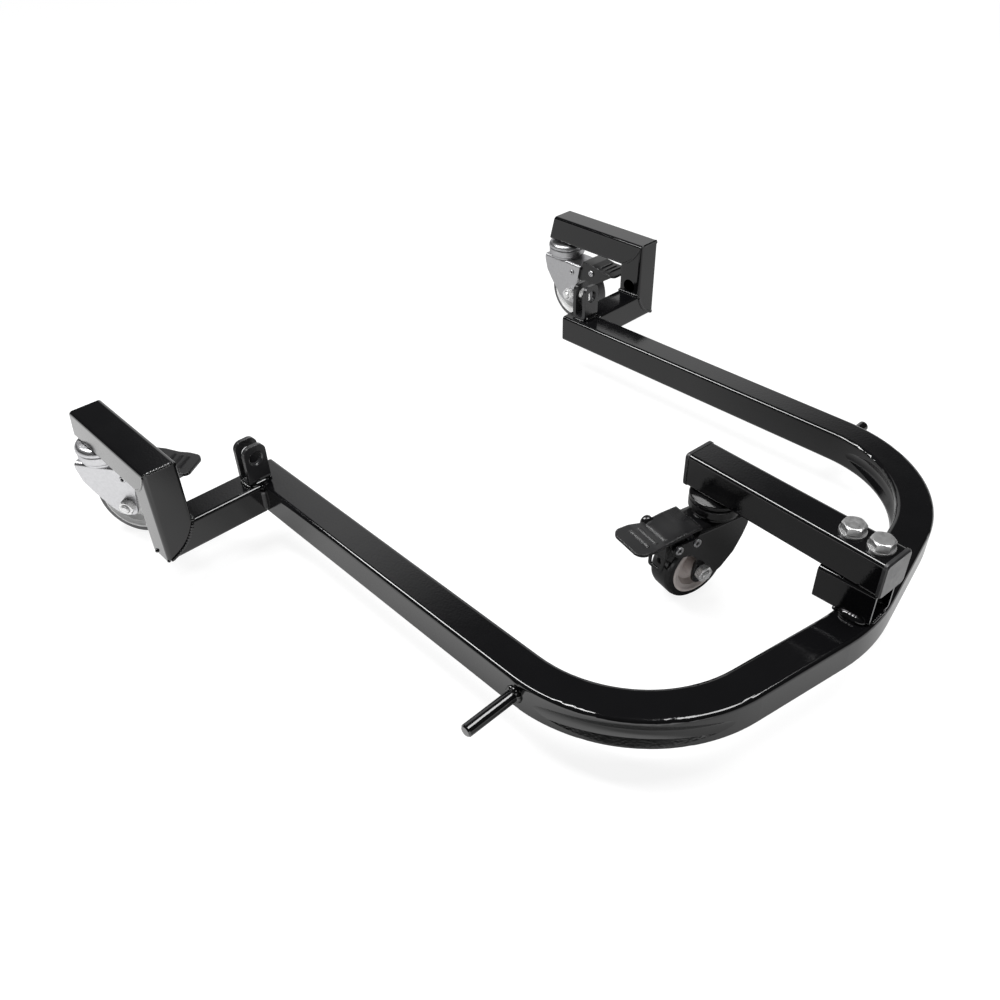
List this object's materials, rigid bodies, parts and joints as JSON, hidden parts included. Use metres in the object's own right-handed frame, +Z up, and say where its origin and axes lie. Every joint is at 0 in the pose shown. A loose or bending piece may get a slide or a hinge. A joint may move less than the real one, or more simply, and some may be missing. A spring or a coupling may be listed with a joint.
{
  "type": "motorcycle mover dolly",
  "caption": "Low pointed U frame of square tube on braked swivel casters, for shifting a parked motorcycle by hand.",
  "frame": {"origin": "on the floor, in the middle of the length and of the width", "axes": "+X across the dolly, +Y towards the open end of the U, +Z up"},
  "size_m": [0.6639, 0.6253, 0.1339],
  "materials": {
    "black_powder_coat": "gloss",
    "black_e_coat": "satin",
    "zinc_plate": "satin zinc",
    "black_plastic": "matt",
    "shoe_plastic": "matt",
    "tread": "matt",
    "core_plastic": "matt"
  },
  "bodies": {
    "frame": {"u_frame": "black_powder_coat", "riser": "black_powder_coat", "centre_arm": "black_powder_coat", "near_arm_cap": "black_plastic", "far_arm_cap": "black_plastic", "clamp_bolts": "zinc_plate", "clamp_washers": "zinc_plate", "clamp_nuts": "zinc_plate", "kingpin_nuts": "zinc_plate", "level_washers": "zinc_plate", "left_arm_end_plate": "black_powder_coat", "left_cross_tube": "black_powder_coat", "left_upright": "black_powder_coat", "left_top_tube": "black_powder_coat", "left_top_tube_end": "black_powder_coat", "left_lever_pin": "black_powder_coat", "left_clevis": "black_powder_coat", "right_arm_end_plate": "black_powder_coat", "right_cross_tube": "black_powder_coat", "right_upright": "black_powder_coat", "right_top_tube": "black_powder_coat", "right_top_tube_end": "black_powder_coat", "right_lever_pin": "black_powder_coat", "right_clevis": "black_powder_coat", "left_kingpin": "zinc_plate", "left_upper_dish": "zinc_plate", "right_kingpin": "zinc_plate", "right_upper_dish": "zinc_plate", "centre_kingpin": "zinc_plate", "centre_upper_dish": "black_e_coat"},
    "left_swivel": {"left_thrust_ring": "zinc_plate", "left_fork": "zinc_plate", "left_fork_rivets": "zinc_plate", "left_axle_bush": "zinc_plate", "left_axle_bolt": "zinc_plate", "left_axle_nut": "zinc_plate"},
    "left_wheel": {"left_tyre": "tread", "left_wheel_core": "core_plastic"},
    "left_brake": {"left_pedal": "black_e_coat", "left_brake_shoe": "shoe_plastic"},
    "right_swivel": {"right_thrust_ring": "zinc_plate", "right_fork": "zinc_plate", "right_fork_rivets": "zinc_plate", "right_axle_bush": "zinc_plate", "right_axle_bolt": "zinc_plate", "right_axle_nut": "zinc_plate"},
    "right_wheel": {"right_tyre": "tread", "right_wheel_core": "core_plastic"},
    "right_brake": {"right_pedal": "black_e_coat", "right_brake_shoe": "shoe_plastic"},
    "centre_swivel": {"centre_thrust_ring": "black_e_coat", "centre_fork": "black_e_coat", "centre_fork_rivets": "black_e_coat", "centre_axle_bush": "zinc_plate", "centre_axle_bolt": "zinc_plate", "centre_axle_nut": "zinc_plate"},
    "centre_wheel": {"centre_tyre": "tread", "centre_wheel_core": "core_plastic"},
    "centre_brake": {"centre_pedal": "black_e_coat", "centre_brake_shoe": "shoe_plastic"}
  },
  "joints": [
    {"name": "left_swivel_turn", "type": "hinge", "parent": "frame", "child": "left_swivel", "pos_m": [-0.308, 0.2885, 0], "axis": [0, 0, 1], "continuous": true},
    {"name": "left_wheel_spin", "type": "hinge", "parent": "left_swivel", "child": "left_wheel", "pos_m": [-0.29564, 0.26946, 0.036], "axis": [0.8387, 0.5446, 0], "continuous": true},
    {"name": "left_pedal_press", "type": "hinge", "parent": "left_swivel", "child": "left_brake", "pos_m": [-0.29438, 0.26753, 0.0656], "axis": [0.8387, 0.5446, 0], "range_deg": [0, 8]},
    {"name": "right_swivel_turn", "type": "hinge", "parent": "frame", "child": "right_swivel", "pos_m": [0.308, 0.2885, 0], "axis": [0, 0, 1], "continuous": true},
    {"name": "right_wheel_spin", "type": "hinge", "parent": "right_swivel", "child": "right_wheel", "pos_m": [0.3076, 0.2658, 0.036], "axis": [0.9998, -0.0175, 0], "continuous": true},
    {"name": "right_pedal_press", "type": "hinge", "parent": "right_swivel", "child": "right_brake", "pos_m": [0.30756, 0.2635, 0.0656], "axis": [0.9998, -0.0175, 0], "range_deg": [0, 8]},
    {"name": "centre_swivel_turn", "type": "hinge", "parent": "frame", "child": "centre_swivel", "pos_m": [0.01487, -0.15108, 0], "axis": [0, 0, 1], "continuous": true},
    {"name": "centre_wheel_spin", "type": "hinge", "parent": "centre_swivel", "child": "centre_wheel", "pos_m": [-0.00725, -0.14598, 0.031], "axis": [-0.225, -0.9744, 0], "continuous": true},
    {"name": "centre_pedal_press", "type": "hinge", "parent": "centre_swivel", "child": "centre_brake", "pos_m": [-0.03317, -0.14, 0.065], "axis": [-0.225, -0.9744, 0], "range_deg": [0, 8]}
  ]
}
